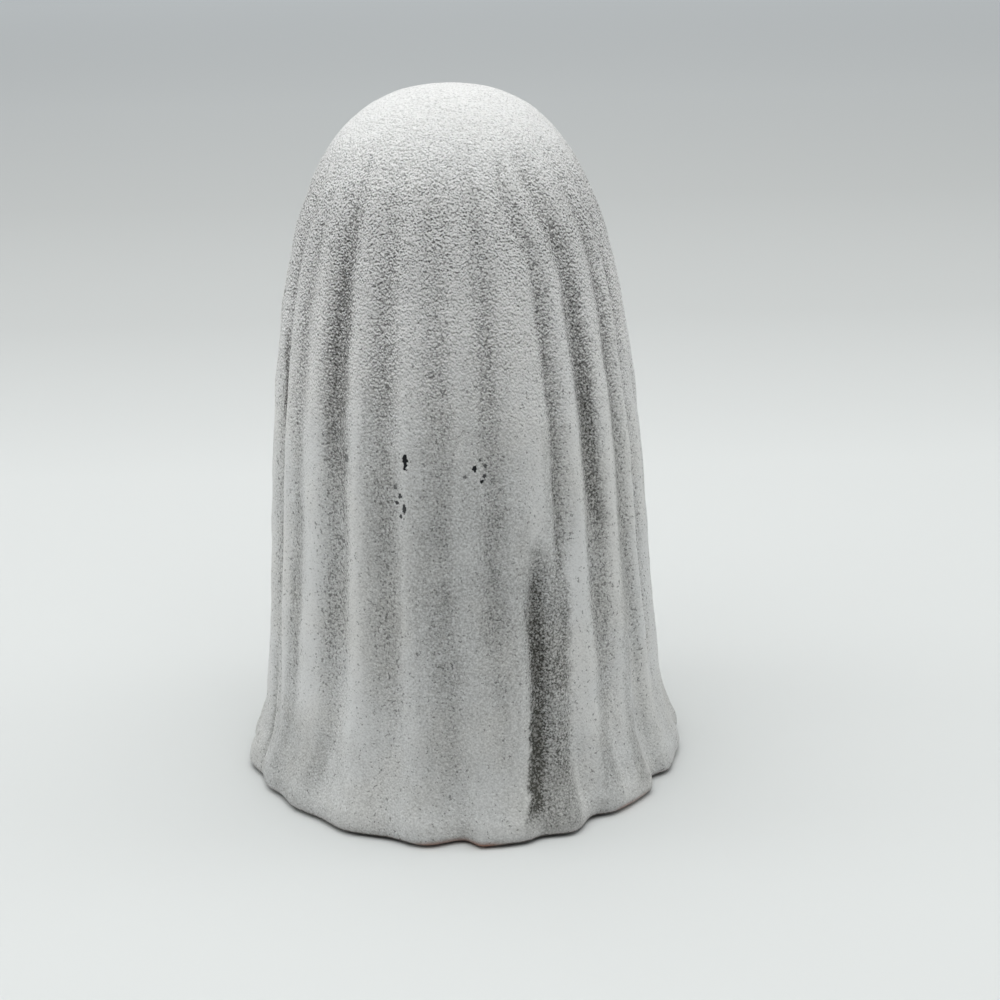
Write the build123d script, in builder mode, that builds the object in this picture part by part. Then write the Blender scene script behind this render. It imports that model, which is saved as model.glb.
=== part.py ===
"""Ceramic ghost figure: a hollow draped shell of red clay that stands on four felt pads.

The figure is modelled upright in millimetres. +Z is up, the origin is on the table under the
figure's axis, and the face looks along -Y.
"""

import os
from math import cos, radians, sin, sqrt

from build123d import *

# Overall sizes
HEIGHT = 190.0
HEM_RADIUS = 61.6
DOME_RADIUS = 39.8
WALL = 4.0
CROWN_WALL = 6.0
FOOT_RING = 10.0

# Outline of the drape, over the folds' crests.
# Skirt levels: radius as a share of the hem's radius, and rise above the foot as a share of the height.
SKIRT_LEVELS = (
    (1.0, 0.0),
    (1.005, 0.013),
    (0.924, 0.087),
    (0.896, 0.195),
    (0.838, 0.463),
)
# Shoulder levels: share of the way out from the dome's radius to the chest's, and drop below the
# crown as a share of the height.
SHOULDER_LEVELS = (
    (0.636, 0.337),
    (0.237, 0.21),
    (-0.11, 0.153),
)
FOLD_TOP_DROP = 20.0

# Ceiling of the hollow: where its slope breaks, as shares of its own radius
CEILING_BREAK = 0.68
CEILING_RISE = 0.74

# Folds, one line for each valley: its angle on the wall and at the hem, its depth on the wall
# and at the hem against a plain fold, and how far the hem's lobe after it reaches out.
# Angles are in degrees, counted from the back towards the figure's right.
FOLDS = (
    (-166, -168, 0.6, 0.6, 1.6),
    (-149, -150, 1.1, 1.3, 1.2),
    (-132, -131, 0.8, 0.8, 0.9),
    (-116, -117, 1.2, 1.3, 0.6),
    (-100, -99, 0.9, 0.7, 0.4),
    (-84, -91, 1.1, 0.6, 0.8),
    (-69, -70, 0.9, 0.6, 0.2),
    (-57, -58, 0.8, 0.4, 0.3),
    (-38.5, -41, 1.3, 0.6, 0.9),
    (-21, -19, 0.8, 0.7, 1.5),
    (-4, 0, 0.6, 1.5, 1.9),
    (11, 10, 0.7, 0.0, 1.9),
    (23, 19, 1.3, 0.7, 1.8),
    (31, 35, 0.8, 1.4, 0.6),
    (45, 48, 1.4, 0.0, 0.5),
    (58, 62, 1.1, 1.5, 0.3),
    (70, 76, 0.9, 0.2, 0.3),
    (85, 91, 1.1, 0.6, 0.4),
    (100, 100, 0.8, 0.8, 0.6),
    (115, 116, 1.2, 1.3, 0.9),
    (130, 129, 0.9, 0.7, 1.3),
    (146, 147, 1.0, 1.4, 1.6),
    (162, 160, 0.6, 0.8, 1.9),
    (178, 176, 0.3, 1.3, 1.9),
)
FOLD_DEPTH = 1.9
HEM_FOLD_DEPTH = 2.2
LOBE_REACH = 2.0
FOLD_FADE = 4
HEM_FADE_RISE = 70.0

# Eyes: two upright slots with round ends, pierced through the face
EYE_WIDTH = 12.0
EYE_HEIGHT = 18.0
EYE_SPACING = 29.0
EYE_DROP = 62.0

# Felt pads under the foot, each beneath a lobe of the hem
PAD_DIAMETER = 6.5
PAD_THICKNESS = 1.2
PAD_MARGIN = 0.4
PAD_BEARINGS = {
    "pad_back_left": -48.5,
    "pad_back_right": 48,
    "pad_front_right": 138,
    "pad_front_left": -140.5,
}

foot_z = PAD_THICKNESS
fold_top = HEIGHT - FOLD_TOP_DROP
dome_centre = HEIGHT - DOME_RADIUS
fold_top_radius = sqrt(DOME_RADIUS**2 - (fold_top - dome_centre) ** 2)
ceiling_radius = DOME_RADIUS - CROWN_WALL
deepest_wall_fold = FOLD_DEPTH * max(fold[2] for fold in FOLDS)
chest_share, chest_rise = SKIRT_LEVELS[-1]
chest_radius = HEM_RADIUS * chest_share

levels = [(HEM_RADIUS * share, foot_z + HEIGHT * rise) for share, rise in SKIRT_LEVELS]
for share, drop in SHOULDER_LEVELS:
    levels.append((DOME_RADIUS + (chest_radius - DOME_RADIUS) * share, HEIGHT * (1 - drop)))
levels.append((fold_top_radius, fold_top))


def around(angle, radius, height=0.0):
    """A point at an angle counted from the back (+Y) towards the figure's right (-X)."""
    return Vector(-radius * sin(radians(angle)), radius * cos(radians(angle)), height)


def valleys_and_crests(crest, height):
    """Angle and radius of each valley and each crest, in turn, at one level of the drape."""
    hem = max(0.0, 1 - (height - foot_z) / HEM_FADE_RISE) ** 2
    wall = (1 - hem) * (1 - ((height - foot_z) / (fold_top - foot_z)) ** FOLD_FADE)
    angles = [on_wall + (at_hem - on_wall) * hem for on_wall, at_hem, *rest in FOLDS]
    angles.append(angles[0] + 360)
    lobes = [LOBE_REACH * reach * hem for *rest, reach in FOLDS]
    places = []
    for index, (on_wall, at_hem, wall_share, hem_share, reach) in enumerate(FOLDS):
        depth = FOLD_DEPTH * wall_share * wall + HEM_FOLD_DEPTH * hem_share * hem
        between = (lobes[index - 1] + lobes[index]) / 2
        places.append((angles[index], crest + between - depth))
        places.append(((angles[index] + angles[index + 1]) / 2, crest + lobes[index]))
    return places


def drape_section(crest, height):
    """The drape's wavy section: an arc over each crest and an arc through each valley."""
    places = valleys_and_crests(crest, height)
    first_angle, first_radius = places[0]
    following = places[1:] + [(first_angle + 360, first_radius)]
    bends = []
    for (angle, radius), (next_angle, next_radius) in zip(places, following):
        bends.append(around((angle + next_angle) / 2, (radius + next_radius) / 2, height))
    arcs = []
    for index, (angle, radius) in enumerate(places):
        middle = around(angle, radius, height)
        arcs.append(Edge.make_three_point_arc(bends[index - 1], middle, bends[index]))
    return Wire(arcs)


# Hollow shell: the drape, its smooth dome, the hollow inside it and the two eyes
with BuildPart() as ghost_shell:
    add(Solid.make_loft([drape_section(*level) for level in levels], ruled=True))

    with BuildSketch(Plane.XZ):
        with BuildLine():
            dome = ThreePointArc(
                (fold_top_radius, fold_top),
                (DOME_RADIUS * sin(radians(25)), dome_centre + DOME_RADIUS * cos(radians(25))),
                (0, HEIGHT),
            )
            Polyline(dome @ 1, (0, fold_top), dome @ 0)
        make_face()
    revolve(axis=Axis.Z)

    with BuildSketch(Plane.XZ):
        with BuildLine():
            Polyline(
                (0, foot_z),
                (HEM_RADIUS - FOOT_RING, foot_z),
                (chest_radius - deepest_wall_fold - WALL, foot_z + HEIGHT * chest_rise),
                (ceiling_radius, dome_centre),
                (ceiling_radius * CEILING_BREAK, dome_centre + ceiling_radius * CEILING_RISE),
                (0, dome_centre + ceiling_radius),
                close=True,
            )
        make_face()
    revolve(axis=Axis.Z, mode=Mode.SUBTRACT)

    with BuildSketch(Plane.XZ):
        with Locations((0, HEIGHT - EYE_DROP)):
            with GridLocations(EYE_SPACING, 0, 2, 1):
                SlotOverall(EYE_HEIGHT, EYE_WIDTH, rotation=90)
    extrude(amount=2 * chest_radius, mode=Mode.SUBTRACT)

# Felt pads: one disc under the middle of the foot's ring at each bearing, standing on the table
pads = {}
for pad_name, pad_bearing in PAD_BEARINGS.items():
    with BuildPart() as pad:
        with BuildSketch():
            with Locations(around(pad_bearing, HEM_RADIUS - FOOT_RING / 2)):
                Circle(min(PAD_DIAMETER, FOOT_RING - 2 * PAD_MARGIN) / 2)
        extrude(amount=PAD_THICKNESS)
    pads[pad_name] = pad.part

# Files
os.makedirs("parts", exist_ok=True)
ghost_shell.part.label = "ghost_shell"
export_step(ghost_shell.part, "parts/ghost_shell.step")
for pad_name, pad_part in pads.items():
    pad_part.label = pad_name
    export_step(pad_part, f"parts/{pad_name}.step")
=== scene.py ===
"""Ceramic ghost figure, dressed for its photograph: a draped clay shell under a gritty coat, on felt pads.

Pieces are shaped in millimetres, as in the CAD model, and brought to metres when they are finished.
Angles round the figure are in degrees, counted from its back (+Y) towards its right (-X).
"""

from bisect import bisect_right
from functools import lru_cache
from math import atan2, cos, degrees, hypot, pi, radians, sin, sqrt

import bmesh
import bpy
from mathutils import Matrix, Vector, noise


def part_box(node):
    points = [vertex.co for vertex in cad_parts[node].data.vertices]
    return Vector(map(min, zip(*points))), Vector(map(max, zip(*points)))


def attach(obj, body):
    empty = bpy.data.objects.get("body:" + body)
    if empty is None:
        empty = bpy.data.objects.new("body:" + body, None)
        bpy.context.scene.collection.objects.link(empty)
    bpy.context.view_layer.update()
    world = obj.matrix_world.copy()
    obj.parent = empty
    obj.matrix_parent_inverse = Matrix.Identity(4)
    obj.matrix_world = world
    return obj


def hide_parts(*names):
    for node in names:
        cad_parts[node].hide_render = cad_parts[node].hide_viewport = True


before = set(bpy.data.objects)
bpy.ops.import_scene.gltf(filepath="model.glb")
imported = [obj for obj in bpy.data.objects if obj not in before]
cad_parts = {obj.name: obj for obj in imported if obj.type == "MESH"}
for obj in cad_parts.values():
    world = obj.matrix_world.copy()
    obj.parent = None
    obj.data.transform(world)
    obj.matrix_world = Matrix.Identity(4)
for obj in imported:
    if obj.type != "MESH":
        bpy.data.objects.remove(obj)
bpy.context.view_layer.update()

METRES = 0.001

# Outline of the coat over the crests of its folds, from the foot's ring to the crown: radius, height
COAT_OUTLINE = (
    (51.6, 1.2),
    (57.0, 1.2),
    (59.4, 0.85),
    (60.6, 0.75),
    (61.5, 1.7),
    (61.5, 4.3),
    (59.6, 9.3),
    (57.1, 17.5),
    (55.9, 28.0),
    (55.1, 39.0),
    (54.3, 51.0),
    (53.5, 63.0),
    (52.6, 76.0),
    (51.7, 89.0),
    (50.4, 102.0),
    (48.9, 115.0),
    (47.1, 127.5),
    (45.1, 138.5),
    (42.4, 150.0),
    (38.6, 161.0),
    (33.0, 172.3),
    (25.4, 181.4),
    (16.6, 187.0),
    (8.2, 189.4),
    (0.0, 189.9),
)
COAT_ROWS = 9
# Lining of the hollow, from the foot's ring to the ceiling: radius, height
LINING_OUTLINE = (
    (51.6, 1.2),
    (44.9, 89.2),
    (39.3, 120.0),
    (33.8, 150.2),
    (29.6, 164.0),
    (21.0, 176.5),
    (11.0, 182.4),
    (0.0, 184.0),
)
LINING_ROWS = 3
TURN_STEPS = 384
POLE_RADIUS = 0.01
MERGE_GAP = 0.001
SEAM_GAP = 0.01
# The foot's flat ring: its height, the height below which a point belongs to it, its inner and outer
# radius, and the radius out to which it is bare clay
FOOT = 1.2
FOOT_TOP = 1.3
FOOT_EDGE = (51.6, 60.2)
BARE_FOOT_RADIUS = 58.2

# Folds, one line for each valley: its angle on the wall and at the hem, its depth on the wall and at
# the hem against a plain fold, and how far the hem's lobe after it reaches out
FOLDS = (
    (-166, -168, 0.6, 0.6, 1.6),
    (-149, -150, 1.1, 1.3, 1.2),
    (-132, -131, 0.8, 0.8, 0.9),
    (-116, -117, 1.2, 1.3, 0.6),
    (-100, -99, 0.9, 0.7, 0.4),
    (-84, -91, 1.1, 0.6, 0.8),
    (-69, -70, 0.9, 0.6, 0.2),
    (-57, -58, 0.8, 0.4, 0.3),
    (-38.5, -41, 1.3, 0.6, 0.9),
    (-21, -19, 0.8, 0.7, 1.5),
    (-4, 0, 0.6, 1.5, 1.9),
    (11, 10, 0.7, 0.0, 1.9),
    (23, 19, 1.3, 0.7, 1.8),
    (31, 35, 1.0, 1.4, 0.6),
    (45, 48, 1.4, 0.0, 0.5),
    (61.5, 62, 1.1, 1.5, 0.3),
    (70, 76, 0.9, 0.2, 0.3),
    (85, 91, 1.1, 0.6, 0.4),
    (100, 100, 0.8, 0.8, 0.6),
    (115, 116, 1.2, 1.3, 0.9),
    (130, 129, 0.9, 0.7, 1.3),
    (146, 147, 1.0, 1.4, 1.6),
    (162, 160, 0.6, 0.8, 1.9),
    (178, 176, 0.3, 1.3, 1.9),
)
FOLD_DEPTH = 1.9
HEM_FOLD_DEPTH = 2.2
LOBE_REACH = 2.0
FOLD_FADE = 8
FOLD_TOP = 180.0
HEM_FADE_RISE = 70.0
# Folds that don't run over the whole height: angle on the wall, lowest and highest point
PART_FOLDS = {23: (0, 80), 31: (62, 190)}
WHOLE_HEIGHT = (-1000, 1000)
PART_FOLD_FADE = 18.0
# Folds that lean on the dome: angle on the wall, turn at the top of the folds
LEANING_FOLDS = {23: -8.0, 31: -9.0, 45: -8.0, 61.5: -5.0, 70: -3.0}

# Noise round the figure, for the folds' and the streaks' wavering and the streaks' patches: its
# radius and its rise. A larger radius and a smaller rise make it finer.
FOLD_WAVE = (1.3, 30)
FOLD_WAVER = 1.2
STREAK_WAVES = ((12, 5), (35, 1.7))
STREAK_WAVER = 0.9
STREAK_PATCHES = (6, 9)
STREAK_PATCHINESS = 0.3

# Lumps in the coat: height and size of the broad and of the fine ones, how far the coat sinks to make
# room for them, and the radius past which they have their full height
BROAD_LUMP = 0.30
BROAD_LUMP_SIZE = 13
FINE_LUMP = 0.20
FINE_LUMP_WIDTH = 3.2
FINE_LUMP_HEIGHT = 6
LUMP_SINK = 0.25
LUMP_RADIUS = 25

# Streaks where the coat is thin, and two broad bands of painted shade: half width of the bare middle and how
# far it fades out on the two sides, in degrees, then the middle's height, angle and bareness at points from
# the top down
STREAKS_AND_SHADE_BANDS = (
    (3.8, 5.0, 1.6, ((166, -41, 0.06), (147, -39, 0.15), (116, -38, 0.27), (98, -36, 0.20))),
    (
        1.7, 2.0, 2.6,
        ((150, 50.5, 0.03), (139, 48, 0.11), (113, 46.5, 0.38), (90, 46.5, 0.42), (74, 48.5, 0.16)),
    ),
    (
        1.5, 0.9, 2.6,
        (
            (78, 23, 0.44), (64, 22.6, 0.50), (40, 21.8, 0.92),
            (23, 20.4, 1.0), (10, 17.9, 0.90), (5, 16.9, 0.22),
        ),
    ),
    (
        3.6, 3.0, 3.2,
        ((80, 27.5, 0.20), (68, 27.6, 0.56), (50, 27.4, 0.66), (30, 26.4, 0.60), (4, 24, 0.40)),
    ),
    (0.9, 1.2, 1.2, ((128, -72, 0.3), (116, -69.5, 0.6), (110, -69, 0.6), (103, -68, 0.3))),
    (
        1.5, 3.0, 3.0,
        ((165, 27, 0.02), (140, 30, 0.04), (118, 30.5, 0.10), (92, 30, 0.30), (78, 29, 0.24)),
    ),
    (
        1.5, 3.5, 3.5,
        ((168, 11, 0.02), (140, 11, 0.04), (118, 11.6, 0.15), (92, 11, 0.18), (40, 9, 0.10)),
    ),
    # A broad band of painted shade down the middle of the back, darker than the sides; it is no streak.
    (
        14.0, 9.0, 9.0,
        ((135, 2, 0.0), (114, 2, 0.14), (92, 3, 0.28), (60, 4, 0.30), (30, 4, 0.20), (12, 2, 0.04)),
    ),
    (4.5, 4.0, 4.5, ((130, -22, 0.10), (95, -22.5, 0.20), (55, -22, 0.20), (25, -21, 0.06))),
    (
        1.2, 2.0, 2.0,
        (
            (125, 60, 0.06), (110, 59.4, 0.18), (83, 57.6, 0.14),
            (55, 56.5, 0.32), (24, 54.5, 0.32), (6, 53.4, 0.24),
        ),
    ),
    (
        1.5, 2.5, 2.5,
        ((100, -55.5, 0.05), (86, -55.3, 0.10), (57, -57.5, 0.16), (28, -59.6, 0.20), (8, -62, 0.24)),
    ),
    (
        1.5, 2.5, 2.5,
        ((68, 45.2, 0.02), (58, 45.2, 0.06), (31, 43.7, 0.26), (12, 41.8, 0.34), (4, 41, 0.08)),
    ),
    # A broad band of painted shade low on the figure's left, among the folds by the crease; it is no streak.
    (9.0, 6.0, 6.0, ((34, -60, 0.0), (20, -58, 0.14), (4, -57, 0.14))),
    (1.6, 2.5, 2.5, ((60, -39.5, 0.02), (28, -42, 0.10), (13, -44.4, 0.22), (4, -46, 0.06))),
)
# Height over which a streak fades out past its ends
STREAK_END = 3.0

# A crisp crease beside the lobe at the far left: height and angle of its ends, half width, depth,
# how far it fades at its ends, and how dark its painted shade is
CREASE_ENDS = ((37.0, -73.0), (4.0, -71.5))
CREASE_HALF = 1.0
CREASE_DEPTH = 1.0
CREASE_FADE = 8
CREASE_SHADE = 0.45

# Bare clay shows along the hem's edge round these angles: angle, half width
CLAY_SHOWS = ((-1.5, 9), (48, 6))

# Chips through the coat: angle, height, width, length, darkness
CHIPS = (
    (-14.1, 102.4, 1.4, 3.8, 1.0),
    (6.2, 100.6, 1.3, 1.9, 1.0),
    (9.4, 100.9, 0.9, 1.2, 0.8),
    (9.0, 98.3, 1.0, 1.2, 0.9),
    (8.2, 96.9, 1.1, 1.0, 1.0),
    (3.2, 98.6, 0.9, 1.0, 0.7),
    (7.8, 102.5, 0.9, 1.0, 0.8),
    (-17.6, 95.5, 0.9, 1.4, 0.7),
    (-15.9, 93.2, 1.0, 2.0, 0.9),
    (-17.0, 91.4, 1.1, 1.1, 0.9),
    (-14.6, 90.0, 1.0, 2.4, 0.93),
    (-15.6, 88.1, 0.9, 1.5, 0.88),
    (-34.3, 101.3, 2.2, 2.2, 0.5),
)
# Depth of a chip's dent, where the dent ends and where its black starts and is full, in shares of the
# chip's half size, how ragged the black is, and how far it reaches along Y
CHIP_DEPTH = 0.35
CHIP_RIM = 1.5
CHIP_EDGE = (1.1, 0.8)
CHIP_RAGGEDNESS = 2.4
CHIP_REACH = 2.0

# Eyes: two upright slots with round ends, pierced through the face. Their places are X and Z, and their
# cut starts and ends along Y.
EYE_WIDTH = 12.0
EYE_HEIGHT = 18.0
EYE_PLACES = ((-14.5, 128.0), (14.5, 128.0))
EYE_LIP = 2.4
EYE_CUT = (-20.0, -80.0)
EYE_STEPS = 64

# Felt pads. Their profile goes from the table to the foot: shares of the radius and of the thickness.
PAD_NODES = ("pad_back_left", "pad_back_right", "pad_front_right", "pad_front_left")
PAD_PROFILE = (
    (0.0, 0.0),
    (0.6, 0.0),
    (0.93, 0.025),
    (1.0, 0.3),
    (0.985, 0.75),
    (0.93, 0.97),
    (0.6, 1.0),
    (0.0, 1.0),
)
PAD_ROWS = 4
PAD_STEPS = 48
PAD_FUZZ = 0.05
PAD_FUZZ_FINENESS = 1.7

# Changes with height: where each starts, and the rise over which it is done. Those with a negative rise
# go downwards.
LEAN_SPAN = (146, 26)
CROWN_SPAN = (166, 22)
DOME_SPAN = (152, 34)
WALL_SPAN = (50, 100)
HEAD_SPAN = (140, 25)
VALLEY_SPAN = (5, 60)
SKIRT_SPAN = (33, -26)
RIM_SPAN = (1.7, -0.6)
CLAY_SPAN = (2.7, -1.8)

# Marks on the mesh for the coat's finish: the least of a mark that fades, how sharply a valley's mark
# gathers in its middle and the wall's grit near its top, how much smoother the dome and the crests are,
# and how dark the painted shade along the coat's bottom rim is
COAT_MARKS = ("valley", "thin_and_shaded", "crown", "rough", "hem", "skirt")
FAINT = 0.1
VALLEY_SHARPNESS = 1.3
WALL_SHARPNESS = 3
DOME_SMOOTHNESS = 0.68
CREST_SMOOTHNESS = 0.45
RIM_SHADE = 0.9

# Grains in the finishes, in millimetres
GRIT_SIZE = 0.54
FINE_SIZE = 0.4
COARSE_SIZE = 1.7
RUN_SIZE = 2.5
RUN_STRETCH = 8.0
PATCH_SIZE = 20.0
SPECK_SIZE = 0.8
CHIP_GRAIN_SIZE = 0.8
CLAY_PATCH_SIZE = 9.0
CLAY_SAND_SIZE = 0.7
FIBRE_SIZE = 0.35
MATTING_SIZE = 1.6
# Shade under the grit is read from this share of a grain above a point and below it
GRIT_STEP = 0.4
# The noise's middle, and the ends of its ranges over which patches of colour change, sand shows in the
# clay and fibres show in the felt
NOISE_MIDDLE = 0.5
PATCH_RANGE = (0.35, 0.65)
SAND_RANGE = (0.62, 0.72)
FIBRE_RANGE = (0.55, 0.7)

# Charcoal that shows through the coat's white, and painted shade on the thin mark: everywhere, and then for
# each mark
BASE_TONE = 0.02
VALLEY_TONE = 0.32
SKIRT_TONE = 0.23
RUN_TONE = 0.22
PATCH_TONE = 0.12
ROUGH_TONE = -0.02
THIN_AND_SHADE_TONE = 0.85
# Contrast of the grit's mottling: everywhere, on the thin mark's thin coat and painted shade, where charcoal
# shows and where a streak frays, and how much of it is lost on the skirt
BASE_CONTRAST = 0.5
THIN_CONTRAST = 1.0
TONE_CONTRAST = 2.0
FRAY_CONTRAST = 7.0
SKIRT_CALM = 0.35
# Shade under the grains: everywhere, on rough grit, then more on the roughest and less in a valley
BASE_SHADE = 0.1
GRIT_SHADE = 2.5
ROUGHEST_SHADE = 1.6
VALLEY_SHADE = -1.6
# Light on the upper sides of grains: its strength, how it grows with the grit's roughness, and how
# much of it is lost on the crown
LIT_STRENGTH = 7.0
LIT_GROWTH = (-0.2, 2.2)
CROWN_DIMMING = 0.6

# Specks: the level of the noise at which they start, how far a full share lowers it, and how crisp
# they are. Their drop keeps the dark and the pale ones apart.
SPECK_LEVEL = 0.67
SPECK_SPREAD = 0.36
SPECK_CRISPNESS = 12.0
DARK_SPECK_DROP = 300.0
PALE_SPECK_DROP = 600.0
# Shares and strengths of the dark and the pale specks: everywhere, and then for each mark
DARK_SHARE = 0.05
DARK_SHARE_ROUGH = 0.09
DARK_SHARE_VALLEY = 0.33
DARK_STRENGTH = 0.55
DARK_STRENGTH_CROWN = -0.40
PALE_SHARE_VALLEY = 0.16
PALE_SHARE_THIN = 0.40
PALE_STRENGTH = 0.3

# Heights in the coat's bump, and how much of it a valley keeps where the coat isn't rough
GRIT_HEIGHT = 2.0
FINE_HEIGHT = 0.5
COARSE_HEIGHT = 1.6
VALLEY_HEIGHT = 0.12
SPECK_HEIGHT = -0.15

# Wear at the hem: ends of the patches' range, and the least wear
WEAR_RANGE = (0.62, 0.40)
LEAST_WEAR = 0.5

# Sockets of a Mix node that take and give colours
MIX_INPUTS = (6, 7)
MIX_OUTPUT = 2

# Colours of the finishes
COOL_WHITE = (0.790, 0.815, 0.806)
WARM_WHITE = (0.806, 0.822, 0.799)
GRIT_WHITE = (0.955, 0.965, 0.955)
CROWN_WHITE = (0.85, 0.86, 0.85)
LIT_WHITE = (0.98, 0.985, 0.98)
CHARCOAL = (0.074, 0.0755, 0.066)
DARK_SPECK = (0.06, 0.062, 0.056)
PALE_SPECK = (0.66, 0.66, 0.63)
CHIP_BLACK = (0.02, 0.022, 0.024)
DARK_CLAY = (0.30, 0.135, 0.085)
LIGHT_CLAY = (0.40, 0.20, 0.135)
CLAY_SAND = (0.52, 0.36, 0.28)
DARK_FELT = (0.05, 0.05, 0.055)
GREY_FELT = (0.085, 0.085, 0.09)
FELT_FIBRE = (0.19, 0.19, 0.195)

# Camera of the photograph
CAMERA_PLACE = (-11.55, 540.0, 264.7)
CAMERA_PITCH = 19.4
CAMERA_ROLL = -1.46
CAMERA_LENS = 73.584
CAMERA_NEAR = 0.01

# Table, in metres: its grey along Y, from far behind the figure to the near edge of the picture, the
# grey that its far parts glow with, along Y and out to the sides, the tints of both, the grey that it
# lights the figure with, and half its width
TABLE_COLOUR = (
    (-2.2, 0.70), (-0.8, 0.69), (-0.5, 0.68), (-0.33, 0.73), (-0.25, 0.76), (-0.1, 0.74), (0.1, 0.73),
)
TABLE_GLOW = ((-2.2, 0.24), (-1.27, 0.12), (-0.82, 0.02), (-0.5, 0.0))
SIDE_GLOW = ((0.8, 0.0), (1.5, 0.10), (2.2, 0.24), (3.0, 0.40))
TABLE_TINT = (0.975, 1.01, 1.0)
GLOW_TINT = (0.92, 1.0, 1.06)
TABLE_BOUNCE = 0.50
TABLE_HALF = 3.0

# Light: the sky's strength, which falls towards the side that the figure's back looks to, how far round
# that fall is done, the grey that the sky shows, and the lamps, in metres and watts
SKY_LIGHT = 0.32
SKY_LIGHT_BACK = 0.12
SKY_TURN = 0.9
SKY_COLOUR = (0.50, 0.52, 0.52)
LAMP_SIZE = 1.6
LAMP_PLACE = (0.03, 0.12, 1.2)
LAMP_WATTS = 16.3
SIDE_LAMP_SIZE = 0.6
SIDE_LAMP_PLACE = (1.3, -0.1, 0.45)
LEFT_LAMP_WATTS = 3.3
RIGHT_LAMP_WATTS = 2.7


# Shapes

def around(angle, radius, height):
    """A point at an angle counted from the back towards the figure's right."""
    return Vector((-radius * sin(radians(angle)), radius * cos(radians(angle)), height))


def ease(share):
    """A share from 0 to 1 with soft ends."""
    share = min(1.0, max(0.0, share))
    return share * share * (3 - 2 * share)


def risen(height, span):
    """How far a change with height is done, from 0 to 1."""
    start, rise = span
    return ease((height - start) / rise)


def noise_round(angle, height, wave):
    """Smooth noise round the figure, from -1 to 1."""
    radius, rise = wave
    return noise.noise(around(angle, radius, height / rise))


@lru_cache(maxsize=None)
def fold_places(height):
    """At one height, each valley and crest in turn: angles, offsets from the outline, valley depths."""
    rise = height - FOOT
    hem = max(0.0, 1 - rise / HEM_FADE_RISE) ** 2
    wall = (1 - hem) * (1 - min(1.0, rise / (FOLD_TOP - FOOT)) ** FOLD_FADE)
    lean = risen(height, LEAN_SPAN)
    valleys = []
    for on_wall, at_hem, *rest in FOLDS:
        valleys.append(on_wall + (at_hem - on_wall) * hem + LEANING_FOLDS.get(on_wall, 0.0) * lean)
    valleys.append(valleys[0] + 360)
    lobes = [LOBE_REACH * reach * hem for *rest, reach in FOLDS]
    angles, offsets, depths = [], [], []
    for index, (on_wall, at_hem, wall_share, hem_share, reach) in enumerate(FOLDS):
        low, high = PART_FOLDS.get(on_wall, WHOLE_HEIGHT)
        wall_share *= ease((height - low) / PART_FOLD_FADE) * ease((high - height) / PART_FOLD_FADE)
        depth = FOLD_DEPTH * wall_share * wall + HEM_FOLD_DEPTH * hem_share * hem
        angles += [valleys[index], (valleys[index] + valleys[index + 1]) / 2]
        offsets += [(lobes[index - 1] + lobes[index]) / 2 - depth, lobes[index]]
        depths += [wall_share * wall + hem_share * hem, 0.0]
    for track in (offsets, depths):
        track.append(track[0])
    angles.append(angles[0] + 360)
    return angles, offsets, depths


def fold_at(angle, height):
    """Offset of the drape from its outline at a point, and how deep in a valley the point is."""
    angles, offsets, depths = fold_places(round(height, 2))
    angle += FOLD_WAVER * noise_round(angle, height, FOLD_WAVE)
    angle = (angle - angles[0]) % 360 + angles[0]
    place = min(bisect_right(angles, angle), len(angles) - 1)
    share = (angle - angles[place - 1]) / (angles[place] - angles[place - 1])
    share = (1 - cos(pi * share)) / 2
    offset = offsets[place - 1] + (offsets[place] - offsets[place - 1]) * share
    depth = depths[place - 1] + (depths[place] - depths[place - 1]) * share
    return offset, depth


def outline_radius(height):
    """Radius of the coat's outline at a height on the wall."""
    for (start, low), (end, high) in zip(COAT_OUTLINE, COAT_OUTLINE[1:]):
        if low <= height <= high and high > low:
            return start + (end - start) * (height - low) / (high - low)
    return 0.0


def streak_middle(points, height):
    """Angle and bareness of a streak's middle at a height."""
    for (high, start, bare_start), (low, end, bare_end) in zip(points, points[1:]):
        if height >= low:
            break
    share = min(1.0, max(0.0, (high - height) / (high - low)))
    return start + (end - start) * share, bare_start + (bare_end - bare_start) * share


def thin_coat_and_shade(angle, height):
    """How thin the coat is at a point, from 0 to 1, where a streak passes, and how dark the painted shade is
    where a band of it passes.
    """
    waver = sum(noise_round(angle, height, wave) for wave in STREAK_WAVES)
    patchy = 1 + STREAK_PATCHINESS * noise_round(angle, height, STREAK_PATCHES)
    thin_and_shaded = 0.0
    for half, left, right, points in STREAKS_AND_SHADE_BANDS:
        end = min(points[0][0] - height, height - points[-1][0])
        if end < -STREAK_END:
            continue
        middle, bare = streak_middle(points, height)
        off = (angle - middle + 180) % 360 - 180 + STREAK_WAVER * waver
        across = ease(1 - (abs(off) - half) / (right if off > 0 else left))
        thin_and_shaded = max(thin_and_shaded, bare * patchy * across * ease(1 + end / STREAK_END))
    return min(1.0, thin_and_shaded)


def crease_at(angle, height, radius):
    """How deep in the crease a point is, from 0 to 1."""
    (top, top_angle), (bottom, bottom_angle) = CREASE_ENDS
    share = min(1.0, max(0.0, (top - height) / (top - bottom)))
    off = radians(angle - top_angle - (bottom_angle - top_angle) * share) * radius
    end = min(top - height, height - bottom)
    return ease(1 - abs(off) / CREASE_HALF) * ease(0.5 + end / CREASE_FADE)


def clay_shows(angle):
    """How much bare clay shows at the hem's edge: all within 2/3 of a half width, none past 4/3."""
    return max(ease(2 - 1.5 * abs(angle - middle) / half) for middle, half in CLAY_SHOWS)


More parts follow.
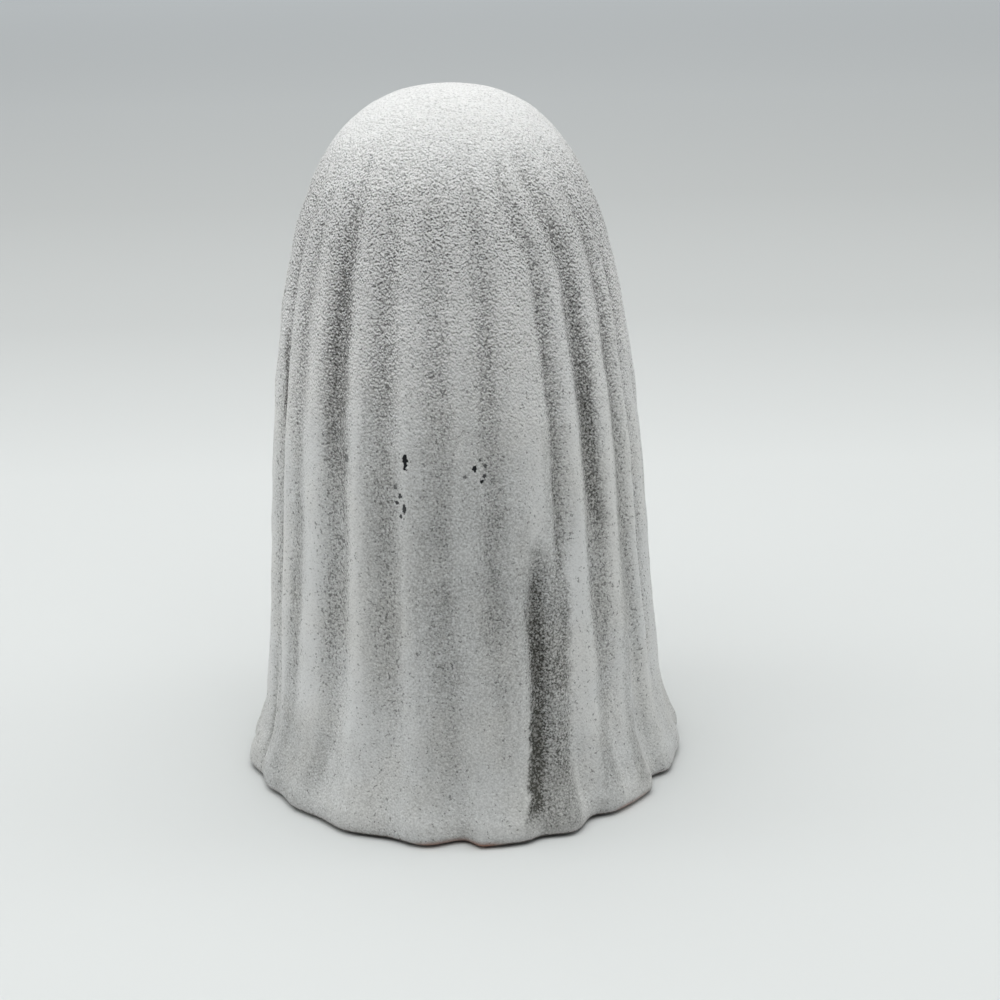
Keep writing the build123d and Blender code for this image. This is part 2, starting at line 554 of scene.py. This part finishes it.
def eye_gap(x, z):
    """Distance of a point of the face from the nearer eye's rim. Inside an eye it is negative."""
    straight = (EYE_HEIGHT - EYE_WIDTH) / 2
    gaps = [hypot(x - eye_x, max(0.0, abs(z - eye_z) - straight)) for eye_x, eye_z in EYE_PLACES]
    return min(gaps) - EYE_WIDTH / 2


def eye_dent(x, z):
    """How far the rounded rim of an eye draws the coat in at a point of the face."""
    lip = max(0.0, 1 - max(0.0, eye_gap(x, z)) / EYE_LIP)
    return EYE_LIP / 2 * (1 - sqrt(1 - lip * lip))


def chip_dent(angle, height, radius):
    """How deep a chip dents the coat at a point: fully in its middle, not at all past its rim."""
    dent = 0.0
    for chip_angle, chip_height, width, length, _ in CHIPS:
        across = radians(angle - chip_angle) * radius / (width / 2)
        along = (height - chip_height) / (length / 2)
        dent = max(dent, ease(CHIP_RIM - hypot(across, along)))
    return CHIP_DEPTH * dent


def drape(skin):
    """Moves the spun coat's vertices into its folds, lobes, lumps, eye rims and chips."""
    for vert in skin.verts:
        x, y, z = vert.co
        radius = hypot(x, y)
        if radius < POLE_RADIUS:
            continue
        angle = degrees(atan2(-x, y))
        offset = fold_at(angle, z)[0]
        fine_place = Vector((x / FINE_LUMP_WIDTH, y / FINE_LUMP_WIDTH, z / FINE_LUMP_HEIGHT))
        lump = BROAD_LUMP * noise.noise(vert.co / BROAD_LUMP_SIZE) + FINE_LUMP * noise.noise(fine_place)
        offset += (lump - LUMP_SINK) * ease(radius / LUMP_RADIUS)
        if z < FOOT_TOP:
            offset *= ease((radius - FOOT_EDGE[0]) / (FOOT_EDGE[1] - FOOT_EDGE[0]))
        if y < 0:
            offset -= eye_dent(x, z)
        offset -= chip_dent(angle, z, radius) + CREASE_DEPTH * crease_at(angle, z, radius)
        vert.co = around(angle, radius + offset, z)


def chain_mesh(points, rows):
    """A smooth chain of edges through points of (radius, height), with rows edges between two points."""
    curve = bpy.data.curves.new("chain", "CURVE")
    curve.dimensions = "3D"
    curve.resolution_u = rows
    spline = curve.splines.new("BEZIER")
    spline.bezier_points.add(len(points) - 1)
    for point, (radius, height) in zip(spline.bezier_points, points):
        point.co = (radius, 0, height)
        point.handle_left_type = point.handle_right_type = "AUTO"
    holder = bpy.data.objects.new("chain", curve)
    mesh = bpy.data.meshes.new_from_object(holder)
    bpy.data.objects.remove(holder)
    bpy.data.curves.remove(curve)
    return mesh


def spun(points, rows, steps, inwards=False):
    """A skin spun once round Z from a smooth chain, facing outwards or inwards."""
    chain = chain_mesh(points, rows)
    skin = bmesh.new()
    skin.from_mesh(chain)
    bpy.data.meshes.remove(chain)
    bmesh.ops.spin(
        skin, geom=skin.verts[:] + skin.edges[:], cent=(0, 0, 0), axis=(0, 0, 1),
        angle=2 * pi, steps=steps, use_merge=True,
    )
    bmesh.ops.remove_doubles(skin, verts=skin.verts, dist=MERGE_GAP)
    bmesh.ops.recalc_face_normals(skin, faces=skin.faces)
    top = max(skin.faces, key=lambda face: face.calc_center_median().z)
    if (top.normal.z < 0) != inwards:
        bmesh.ops.reverse_faces(skin, faces=skin.faces)
    return skin


def eye_cutter():
    """The solid that pierces the two eyes."""
    cutter = bmesh.new()
    straight = (EYE_HEIGHT - EYE_WIDTH) / 2
    for eye_x, eye_z in EYE_PLACES:
        circle = bmesh.ops.create_circle(cutter, cap_ends=True, radius=EYE_WIDTH / 2, segments=EYE_STEPS)
        ring = circle["verts"]
        bmesh.ops.rotate(cutter, verts=ring, matrix=Matrix.Rotation(pi / 2, 3, "X"))
        for vert in ring:
            vert.co.z += eye_z + (straight if vert.co.z > 0 else -straight)
        bmesh.ops.translate(cutter, verts=ring, vec=(eye_x, EYE_CUT[0], 0))
        face = ring[0].link_faces[0]
        grown = bmesh.ops.extrude_face_region(cutter, geom=[face])["geom"]
        far = [part for part in grown if isinstance(part, bmesh.types.BMVert)]
        bmesh.ops.translate(cutter, verts=far, vec=(0, EYE_CUT[1] - EYE_CUT[0], 0))
    bmesh.ops.recalc_face_normals(cutter, faces=cutter.faces)
    return cutter


def shown(name, shape):
    """A new object in the scene from a bmesh, which is freed."""
    mesh = bpy.data.meshes.new(name)
    shape.to_mesh(mesh)
    shape.free()
    piece = bpy.data.objects.new(name, mesh)
    bpy.context.scene.collection.objects.link(piece)
    return piece


def pierce(piece, cutter):
    """Cuts the cutter's solid out of a piece for good."""
    cut = piece.modifiers.new("eyes", "BOOLEAN")
    cut.operation = "DIFFERENCE"
    cut.solver = "EXACT"
    cut.object = cutter
    depsgraph = bpy.context.evaluated_depsgraph_get()
    mesh = bpy.data.meshes.new_from_object(piece.evaluated_get(depsgraph))
    piece.modifiers.clear()
    whole = piece.data
    piece.data = mesh
    bpy.data.meshes.remove(whole)
    cutter_mesh = cutter.data
    bpy.data.objects.remove(cutter)
    bpy.data.meshes.remove(cutter_mesh)


def above_faint(share):
    """A share from 0 to 1, with a little left where it is 0."""
    return FAINT + (1 - FAINT) * share


def coat_marks(place):
    """What the coat's finish has to know at a point of the mesh."""
    x, y, z = place
    angle = degrees(atan2(-x, y))
    depth = min(1.0, fold_at(angle, max(z, FOOT))[1]) ** VALLEY_SHARPNESS
    wall_grit = above_faint(risen(z, WALL_SPAN) ** WALL_SHARPNESS)
    dome_grit = 1 - DOME_SMOOTHNESS * risen(z, DOME_SPAN)
    crest_grit = 1 - CREST_SMOOTHNESS * (1 - depth) * (1 - risen(z, HEAD_SPAN))
    # Painted shade: a dark line along the hem's bottom edge wherever clay doesn't show there.
    rim_shade = RIM_SHADE * risen(z, RIM_SPAN) * (1 - clay_shows(angle))
    # Painted shade darkens the crease.
    crease_shade = CREASE_SHADE * crease_at(angle, z, hypot(x, y))
    return {
        "valley": depth * above_faint(risen(z, VALLEY_SPAN)),
        # The thin mark holds thin coat and painted shade: streaks, the bands of shade, the crease and the
        # rim.
        "thin_and_shaded": max(thin_coat_and_shade(angle, z), crease_shade, rim_shade),
        "crown": risen(z, CROWN_SPAN),
        "rough": wall_grit * dome_grit * crest_grit,
        "hem": risen(z, CLAY_SPAN) * above_faint(clay_shows(angle)),
        "skirt": risen(z, SKIRT_SPAN),
    }


def write_marks(mesh):
    """Writes the coat's marks on the mesh as point attributes."""
    points = [coat_marks(vert.co) for vert in mesh.vertices]
    for name in COAT_MARKS:
        attribute = mesh.attributes.new(name, "FLOAT", "POINT")
        attribute.data.foreach_set("value", [point[name] for point in points])


def ghost_shell():
    """The hollow shell: draped coat outside, bare lining inside, two pierced eyes."""
    shell = spun(COAT_OUTLINE, COAT_ROWS, TURN_STEPS)
    drape(shell)
    for face in shell.faces:
        middle = face.calc_center_median()
        bare = middle.z < FOOT_TOP and hypot(middle.x, middle.y) < BARE_FOOT_RADIUS
        face.material_index = 1 if bare else 0
    lining = spun(LINING_OUTLINE, LINING_ROWS, TURN_STEPS, inwards=True)
    for face in lining.faces:
        face.material_index = 1
    lining_mesh = bpy.data.meshes.new("lining")
    lining.to_mesh(lining_mesh)
    lining.free()
    shell.from_mesh(lining_mesh)
    bpy.data.meshes.remove(lining_mesh)
    bmesh.ops.remove_doubles(shell, verts=shell.verts, dist=SEAM_GAP)
    piece = shown("draped_shell", shell)
    pierce(piece, shown("eye_cutter", eye_cutter()))
    write_marks(piece.data)
    return piece


def felt_pad(node):
    """A pressed felt disc with soft edges in the place of a pad of the CAD model."""
    low, high = (Vector(corner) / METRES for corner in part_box(node))
    radius = (high.x - low.x) / 2
    thick = high.z - low.z
    outline = [(radius * across, thick * up) for across, up in PAD_PROFILE]
    pad = spun(outline, PAD_ROWS, PAD_STEPS)
    for vert in pad.verts:
        fuzz = PAD_FUZZ * abs(noise.noise(vert.co * PAD_FUZZ_FINENESS))
        side = ease(2 * hypot(vert.co.x, vert.co.y) / radius - 1)
        vert.co.x *= 1 - fuzz * side
        vert.co.y *= 1 - fuzz * side
        vert.co.z = min(thick, max(0.0, vert.co.z))
    middle = (low + high) / 2
    bmesh.ops.translate(pad, verts=pad.verts, vec=(middle.x, middle.y, low.z))
    return shown("felt_" + node, pad)


# Finishes

def add_node(tree, kind, values=None, **settings):
    """A new node with its settings. Values are numbers or colours, or sockets that get linked."""
    node = tree.nodes.new(kind)
    for setting, value in settings.items():
        setattr(node, setting, value)
    for socket, value in (values or {}).items():
        if isinstance(value, bpy.types.NodeSocket):
            tree.links.new(value, node.inputs[socket])
        else:
            node.inputs[socket].default_value = value
    return node


def calc(tree, operation, *values, clamp=False):
    """The result of a Math node."""
    node = add_node(tree, "ShaderNodeMath", dict(enumerate(values)), operation=operation, use_clamp=clamp)
    return node.outputs[0]


def weighed(tree, start, *parts):
    """A start plus a sum of parts, each a value and its weight."""
    total = start
    for value, weight in parts:
        total = calc(tree, "MULTIPLY_ADD", value, weight, total)
    return total


def product(tree, first, *others):
    """A product of values."""
    result = first
    for value in others:
        result = calc(tree, "MULTIPLY", result, value)
    return result


def blend_colours(tree, share, first, second):
    """The colour between two colours at a share."""
    node = add_node(tree, "ShaderNodeMix", {"Factor": share}, data_type="RGBA")
    for socket, colour in zip(MIX_INPUTS, (first, second)):
        if isinstance(colour, bpy.types.NodeSocket):
            tree.links.new(colour, node.inputs[socket])
        else:
            node.inputs[socket].default_value = (*colour, 1)
    return node.outputs[MIX_OUTPUT]


def rescale(tree, value, start, end, low=0.0, high=1.0):
    """A value taken from the range start to end into the range low to high, with soft ends."""
    node = add_node(
        tree, "ShaderNodeMapRange",
        {"Value": value, "From Min": start, "From Max": end, "To Min": low, "To Max": high},
        interpolation_type="SMOOTHSTEP",
    )
    return node.outputs["Result"]


def mark(tree, name):
    """A mark that was written on the mesh."""
    return add_node(tree, "ShaderNodeAttribute", attribute_name=name).outputs["Fac"]


def grain(tree, size, detail=2.0, roughness=0.55, stretch=1.0, drop=0.0):
    """Noise with grains of a size in millimetres, drawn out along Z by stretch and lowered by drop."""
    place = add_node(tree, "ShaderNodeTexCoord").outputs["Object"]
    mapping = add_node(
        tree, "ShaderNodeMapping",
        {"Vector": place, "Location": (0, 0, drop * METRES), "Scale": (1, 1, 1 / stretch)},
    )
    node = add_node(
        tree, "ShaderNodeTexNoise",
        {
            "Vector": mapping.outputs[0],
            "Scale": 1 / (size * METRES),
            "Detail": detail,
            "Roughness": roughness,
        },
    )
    return node.outputs["Fac"]


def specks(tree, share, drop):
    """Ragged specks, 1 inside them, that cover more of the surface where the share is larger."""
    spots = grain(tree, SPECK_SIZE, detail=1.0, drop=drop)
    threshold = weighed(tree, SPECK_LEVEL, (share, -SPECK_SPREAD))
    return calc(tree, "MULTIPLY", calc(tree, "SUBTRACT", spots, threshold), SPECK_CRISPNESS, clamp=True)


def add_bump(tree, shader, height, strength, distance):
    """Gives a shader a bumpy surface. The distance is in millimetres."""
    bump = add_node(
        tree, "ShaderNodeBump", {"Height": height, "Strength": strength, "Distance": distance * METRES},
    )
    tree.links.new(bump.outputs[0], shader.inputs["Normal"])


def new_finish(name, roughness, specular):
    """An empty material: its node tree and its shader."""
    material = bpy.data.materials.new(name)
    material.use_nodes = True
    shader = material.node_tree.nodes["Principled BSDF"]
    shader.inputs["Roughness"].default_value = roughness
    shader.inputs["Specular IOR Level"].default_value = specular
    return material, material.node_tree, shader


def new_group(name, inputs, outputs):
    """An empty node group with named sockets: the group, its input node and its output node."""
    group = bpy.data.node_groups.new(name, "ShaderNodeTree")
    for socket, kind in inputs:
        group.interface.new_socket(socket, in_out="INPUT", socket_type=kind)
    for socket, kind in outputs:
        group.interface.new_socket(socket, in_out="OUTPUT", socket_type=kind)
    return group, group.nodes.new("NodeGroupInput"), group.nodes.new("NodeGroupOutput")


def red_clay_group():
    """Fired red clay: its colour and its fine sandy height."""
    group, _, out = new_group("red_clay", (), (("Colour", "NodeSocketColor"), ("Height", "NodeSocketFloat")))
    patches = grain(group, CLAY_PATCH_SIZE)
    sand = grain(group, CLAY_SAND_SIZE, detail=3.0)
    body = blend_colours(group, rescale(group, patches, *PATCH_RANGE), DARK_CLAY, LIGHT_CLAY)
    body = blend_colours(group, rescale(group, sand, *SAND_RANGE), body, CLAY_SAND)
    group.links.new(body, out.inputs["Colour"])
    group.links.new(sand, out.inputs["Height"])
    return group


def chip_mask_group():
    """A ragged chip in the coat: 1 inside an ellipsoid at a place."""
    inputs = (("Place", "NodeSocketVector"), ("Size", "NodeSocketVector"))
    group, given, out = new_group("chip", inputs, (("Mask", "NodeSocketFloat"),))
    off = add_node(group, "ShaderNodeTexCoord").outputs["Object"]
    for operation, socket in (("SUBTRACT", "Place"), ("DIVIDE", "Size")):
        pair = {0: off, 1: given.outputs[socket]}
        off = add_node(group, "ShaderNodeVectorMath", pair, operation=operation).outputs[0]
    reach = add_node(group, "ShaderNodeVectorMath", {0: off}, operation="LENGTH").outputs["Value"]
    ragged = calc(group, "SUBTRACT", grain(group, CHIP_GRAIN_SIZE), NOISE_MIDDLE)
    ragged = product(group, ragged, CHIP_RAGGEDNESS)
    mask = rescale(group, calc(group, "ADD", reach, ragged), *CHIP_EDGE)
    group.links.new(mask, out.inputs["Mask"])
    return group


def chips_in_coat(tree, chip_group):
    """How dark the chips make the coat, from 0 to 1."""
    chipped = 0.0
    for angle, height, width, length, darkness in CHIPS:
        radius = outline_radius(height) + fold_at(angle, height)[0]
        chip = add_node(tree, "ShaderNodeGroup", node_tree=chip_group)
        chip.inputs["Place"].default_value = around(angle, radius, height) * METRES
        chip.inputs["Size"].default_value = Vector((width / 2, CHIP_REACH, length / 2)) * METRES
        dark = calc(tree, "MULTIPLY", chip.outputs["Mask"], darkness)
        chipped = calc(tree, "MAXIMUM", dark, chipped)
    return chipped


def coat_bareness_and_shade(tree, marks, grit, underside, patches):
    """How far the coat is darkened towards charcoal, from 0 to 1: charcoal showing through the white, most
    in streaks, with painted shade under grains and on the thin mark.
    """
    valley, thin_and_shaded, rough, skirt = (marks[name] for name in ("valley", "thin_and_shaded", "rough", "skirt"))
    runs = grain(tree, RUN_SIZE, stretch=RUN_STRETCH)
    run_tone = calc(tree, "SUBTRACT", runs, NOISE_MIDDLE)
    patch_tone = calc(tree, "SUBTRACT", patches, NOISE_MIDDLE)
    tone = weighed(
        tree, BASE_TONE,
        (valley, VALLEY_TONE),
        (skirt, SKIRT_TONE),
        (run_tone, RUN_TONE),
        (patch_tone, PATCH_TONE),
        (rough, ROUGH_TONE),
    )
    frayed = product(tree, thin_and_shaded, thin_and_shaded, calc(tree, "SUBTRACT", 1.0, thin_and_shaded))
    contrast = weighed(
        tree, BASE_CONTRAST, (thin_and_shaded, THIN_CONTRAST), (tone, TONE_CONTRAST), (frayed, FRAY_CONTRAST),
    )
    contrast = product(tree, contrast, weighed(tree, 1.0, (skirt, -SKIRT_CALM)))
    # Painted shade under the grains, as if lit from above, darkens the coat like the charcoal.
    shade = weighed(tree, GRIT_SHADE, (valley, VALLEY_SHADE), (rough, ROUGHEST_SHADE))
    shade = weighed(tree, BASE_SHADE, (shade, rough))
    bare = weighed(tree, tone, (thin_and_shaded, THIN_AND_SHADE_TONE), (shade, underside))
    mottling = calc(tree, "SUBTRACT", NOISE_MIDDLE, grit)
    return calc(tree, "MULTIPLY_ADD", contrast, mottling, bare, clamp=True)


def coat_white(tree, marks, underside, patches):
    """The coat's white: patches below, paler grit on the head, and a painted highlight on the upper sides of
    grains.
    """
    rough, crown = marks["rough"], marks["crown"]
    white = blend_colours(tree, rescale(tree, patches, *PATCH_RANGE), COOL_WHITE, WARM_WHITE)
    white = blend_colours(tree, rough, white, GRIT_WHITE)
    white = blend_colours(tree, crown, white, CROWN_WHITE)
    # Painted highlight: the upper sides of grains are painted palest.
    lit_start, lit_rise = LIT_GROWTH
    upper_side = calc(tree, "MULTIPLY", underside, -LIT_STRENGTH, clamp=True)
    on_grit = calc(tree, "MULTIPLY_ADD", rough, lit_rise, lit_start, clamp=True)
    lit = product(tree, upper_side, on_grit, weighed(tree, 1.0, (crown, -CROWN_DIMMING)))
    return blend_colours(tree, lit, white, LIT_WHITE)


def coat_specks(tree, marks):
    """How strong the coat's dark and pale specks are at a point."""
    valley, thin_and_shaded, rough, crown = (marks[name] for name in ("valley", "thin_and_shaded", "rough", "crown"))
    share = weighed(tree, DARK_SHARE, (rough, DARK_SHARE_ROUGH), (valley, DARK_SHARE_VALLEY))
    dark = specks(tree, share, DARK_SPECK_DROP)
    dark = product(tree, dark, weighed(tree, DARK_STRENGTH, (crown, DARK_STRENGTH_CROWN)))
    share = weighed(tree, 0.0, (valley, PALE_SHARE_VALLEY), (thin_and_shaded, PALE_SHARE_THIN))
    pale = specks(tree, share, PALE_SPECK_DROP)
    return dark, product(tree, pale, PALE_STRENGTH)


def coat_height(tree, marks, grit, dark):
    """Height of the coat's grit for its bump, with dark specks sunk in."""
    fine = grain(tree, FINE_SIZE, detail=1.0)
    coarse = grain(tree, COARSE_SIZE)
    height = weighed(tree, 0.0, (grit, GRIT_HEIGHT), (fine, FINE_HEIGHT), (coarse, COARSE_HEIGHT))
    height = product(tree, height, weighed(tree, marks["rough"], (marks["valley"], VALLEY_HEIGHT)))
    return weighed(tree, height, (dark, SPECK_HEIGHT))


def coat_over_clay(red_clay, chip_group):
    """The sprayed gritty coat: white over charcoal, thin in the valleys, worn to the clay at the hem."""
    material, tree, shader = new_finish("coat_over_clay", roughness=0.93, specular=0.15)
    marks = {name: mark(tree, name) for name in COAT_MARKS}
    patches = grain(tree, PATCH_SIZE)
    grit = grain(tree, GRIT_SIZE)
    # Painted shade and painted highlight of the grit: the grit a little above a point less the grit a little
    # below it, as under a light from above.
    above = grain(tree, GRIT_SIZE, drop=GRIT_SIZE * GRIT_STEP)
    below = grain(tree, GRIT_SIZE, drop=-GRIT_SIZE * GRIT_STEP)
    underside = calc(tree, "SUBTRACT", above, below)

    # bare holds the charcoal that shows through the white, with painted shade under grains and on the thin
    # mark.
    bare = coat_bareness_and_shade(tree, marks, grit, underside, patches)
    colour = blend_colours(tree, bare, coat_white(tree, marks, underside, patches), CHARCOAL)
    dark, pale = coat_specks(tree, marks)
    colour = blend_colours(tree, dark, colour, DARK_SPECK)
    colour = blend_colours(tree, pale, colour, PALE_SPECK)
    clay = add_node(tree, "ShaderNodeGroup", node_tree=red_clay)
    worn = product(tree, marks["hem"], rescale(tree, patches, *WEAR_RANGE, low=LEAST_WEAR))
    colour = blend_colours(tree, worn, colour, clay.outputs["Colour"])
    colour = blend_colours(tree, chips_in_coat(tree, chip_group), colour, CHIP_BLACK)
    tree.links.new(colour, shader.inputs["Base Color"])
    add_bump(tree, shader, coat_height(tree, marks, grit, dark), strength=1.0, distance=0.8)
    return material


def bare_clay(red_clay):
    """The uncoated inside and foot."""
    material, tree, shader = new_finish("bare_clay", roughness=0.88, specular=0.2)
    clay = add_node(tree, "ShaderNodeGroup", node_tree=red_clay)
    tree.links.new(clay.outputs["Colour"], shader.inputs["Base Color"])
    add_bump(tree, shader, clay.outputs["Height"], strength=0.5, distance=0.2)
    return material


def pressed_felt():
    """Dark grey felt with a tangle of paler fibres."""
    material, tree, shader = new_finish("pressed_felt", roughness=0.97, specular=0.1)
    fibres = grain(tree, FIBRE_SIZE, detail=4.0, roughness=0.7)
    matting = grain(tree, MATTING_SIZE)
    colour = blend_colours(tree, rescale(tree, matting, *PATCH_RANGE), DARK_FELT, GREY_FELT)
    colour = blend_colours(tree, rescale(tree, fibres, *FIBRE_RANGE), colour, FELT_FIBRE)
    tree.links.new(colour, shader.inputs["Base Color"])
    add_bump(tree, shader, fibres, strength=0.8, distance=0.2)
    return material


# Studio

def grey_along(tree, along, stops, tint):
    """A tinted grey that follows stops of (place, grey)."""
    start, end = stops[0][0], stops[-1][0]
    share = add_node(tree, "ShaderNodeMapRange", {"Value": along, "From Min": start, "From Max": end})
    ramp = add_node(tree, "ShaderNodeValToRGB", {"Fac": share.outputs["Result"]})
    ramp_stops = ramp.color_ramp.elements
    while len(ramp_stops) < len(stops):
        ramp_stops.new(0.5)
    for stop, (place, grey) in zip(ramp_stops, stops):
        stop.position = (place - start) / (end - start)
        stop.color = (*(grey * part for part in tint), 1)
    return ramp.outputs["Color"]


def direct_ray(tree):
    """1 for what the camera sees straight, in a mirror or through glass, 0 for the light on surfaces."""
    path = add_node(tree, "ShaderNodeLightPath")
    ray = calc(tree, "ADD", path.outputs["Is Camera Ray"], path.outputs["Is Glossy Ray"])
    return calc(tree, "ADD", ray, path.outputs["Is Transmission Ray"], clamp=True)


def table():
    """The pale table, which fades to grey behind the figure."""
    top = bmesh.new()
    bmesh.ops.create_grid(top, x_segments=2, y_segments=2, size=TABLE_HALF)
    piece = shown("table", top)
    material, tree, shader = new_finish("pale_table", roughness=0.9, specular=0.1)
    place = add_node(tree, "ShaderNodeTexCoord").outputs["Object"]
    place = add_node(tree, "ShaderNodeSeparateXYZ", {"Vector": place})
    along = place.outputs["Y"]
    aside = calc(tree, "MAXIMUM", along, calc(tree, "ABSOLUTE", place.outputs["X"]))
    seen = direct_ray(tree)
    bounce = (TABLE_BOUNCE,) * 3
    colour = blend_colours(tree, seen, bounce, grey_along(tree, along, TABLE_COLOUR, TABLE_TINT))
    far_glow = grey_along(tree, along, TABLE_GLOW, GLOW_TINT)
    side_glow = grey_along(tree, aside, SIDE_GLOW, GLOW_TINT)
    glow = add_node(tree, "ShaderNodeVectorMath", {0: far_glow, 1: side_glow}, operation="MAXIMUM")
    glow = blend_colours(tree, seen, (0, 0, 0), glow.outputs[0])
    tree.links.new(colour, shader.inputs["Base Color"])
    tree.links.new(glow, shader.inputs["Emission Color"])
    shader.inputs["Emission Strength"].default_value = 1.0
    piece.data.materials.append(material)


def sky():
    """Light from all round, less from the side that the figure's back looks to. Seen, it is plain grey."""
    world = bpy.data.worlds.new("studio_sky")
    bpy.context.scene.world = world
    world.use_nodes = True
    tree = world.node_tree
    light = tree.nodes["Background"]
    light.inputs["Color"].default_value = (1, 1, 1, 1)
    towards = add_node(tree, "ShaderNodeTexCoord").outputs["Generated"]
    towards = add_node(tree, "ShaderNodeSeparateXYZ", {"Vector": towards}).outputs["Y"]
    strength = rescale(tree, towards, 0.0, SKY_TURN, SKY_LIGHT, SKY_LIGHT_BACK)
    tree.links.new(strength, light.inputs["Strength"])
    seen = add_node(tree, "ShaderNodeBackground", {"Color": (*SKY_COLOUR, 1), "Strength": 1.0})
    choice = {0: direct_ray(tree), 1: light.outputs[0], 2: seen.outputs[0]}
    mix = add_node(tree, "ShaderNodeMixShader", choice)
    tree.links.new(mix.outputs[0], tree.nodes["World Output"].inputs["Surface"])


def soft_lamp(name, place, size, watts):
    """A square lamp that faces the figure. The camera doesn't see it."""
    light = bpy.data.lights.new(name, "AREA")
    light.shape = "SQUARE"
    light.size = size
    light.energy = watts
    lamp = bpy.data.objects.new(name, light)
    lamp.location = place
    lamp.rotation_euler = Vector(place).to_track_quat("Z", "Y").to_euler()
    lamp.visible_camera = False
    bpy.context.scene.collection.objects.link(lamp)


def lamps():
    """A large lamp overhead and a small one on each side."""
    soft_lamp("overhead_lamp", LAMP_PLACE, LAMP_SIZE, LAMP_WATTS)
    out, along, up = SIDE_LAMP_PLACE
    soft_lamp("left_lamp", (out, along, up), SIDE_LAMP_SIZE, LEFT_LAMP_WATTS)
    soft_lamp("right_lamp", (-out, along, up), SIDE_LAMP_SIZE, RIGHT_LAMP_WATTS)


def photograph_camera():
    """The camera where the photograph was taken from."""
    camera = bpy.data.cameras.new("photograph_camera")
    camera.lens = CAMERA_LENS
    camera.clip_start = CAMERA_NEAR
    holder = bpy.data.objects.new("photograph_camera", camera)
    pitch, roll = radians(CAMERA_PITCH), radians(CAMERA_ROLL)
    right = Vector((-1, 0, 0))
    up = Vector((0, -sin(pitch), cos(pitch)))
    back = Vector((0, cos(pitch), sin(pitch)))
    axes = (cos(roll) * right + sin(roll) * up, cos(roll) * up - sin(roll) * right, back)
    turn = Matrix(axes).transposed().to_4x4()
    holder.matrix_world = Matrix.Translation(Vector(CAMERA_PLACE) * METRES) @ turn
    bpy.context.scene.collection.objects.link(holder)
    bpy.context.scene.camera = holder


# Assembly

def finished(piece, node, slot, *materials):
    """Brings a piece to metres, gives it its finish and sets it in the place of its CAD node."""
    piece.data.transform(Matrix.Scale(METRES, 4))
    piece.data.shade_smooth()
    for material in materials:
        piece.data.materials.append(material)
    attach(piece, "root")
    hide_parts(node)


photograph_camera()
red_clay = red_clay_group()
coat = coat_over_clay(red_clay, chip_mask_group())
finished(ghost_shell(), "ghost_shell", "coated_clay", coat, bare_clay(red_clay))
felt = pressed_felt()
for pad_node in PAD_NODES:
    finished(felt_pad(pad_node), pad_node, "felt", felt)
table()
sky()
lamps()
bpy.context.scene.view_settings.view_transform = "Standard"
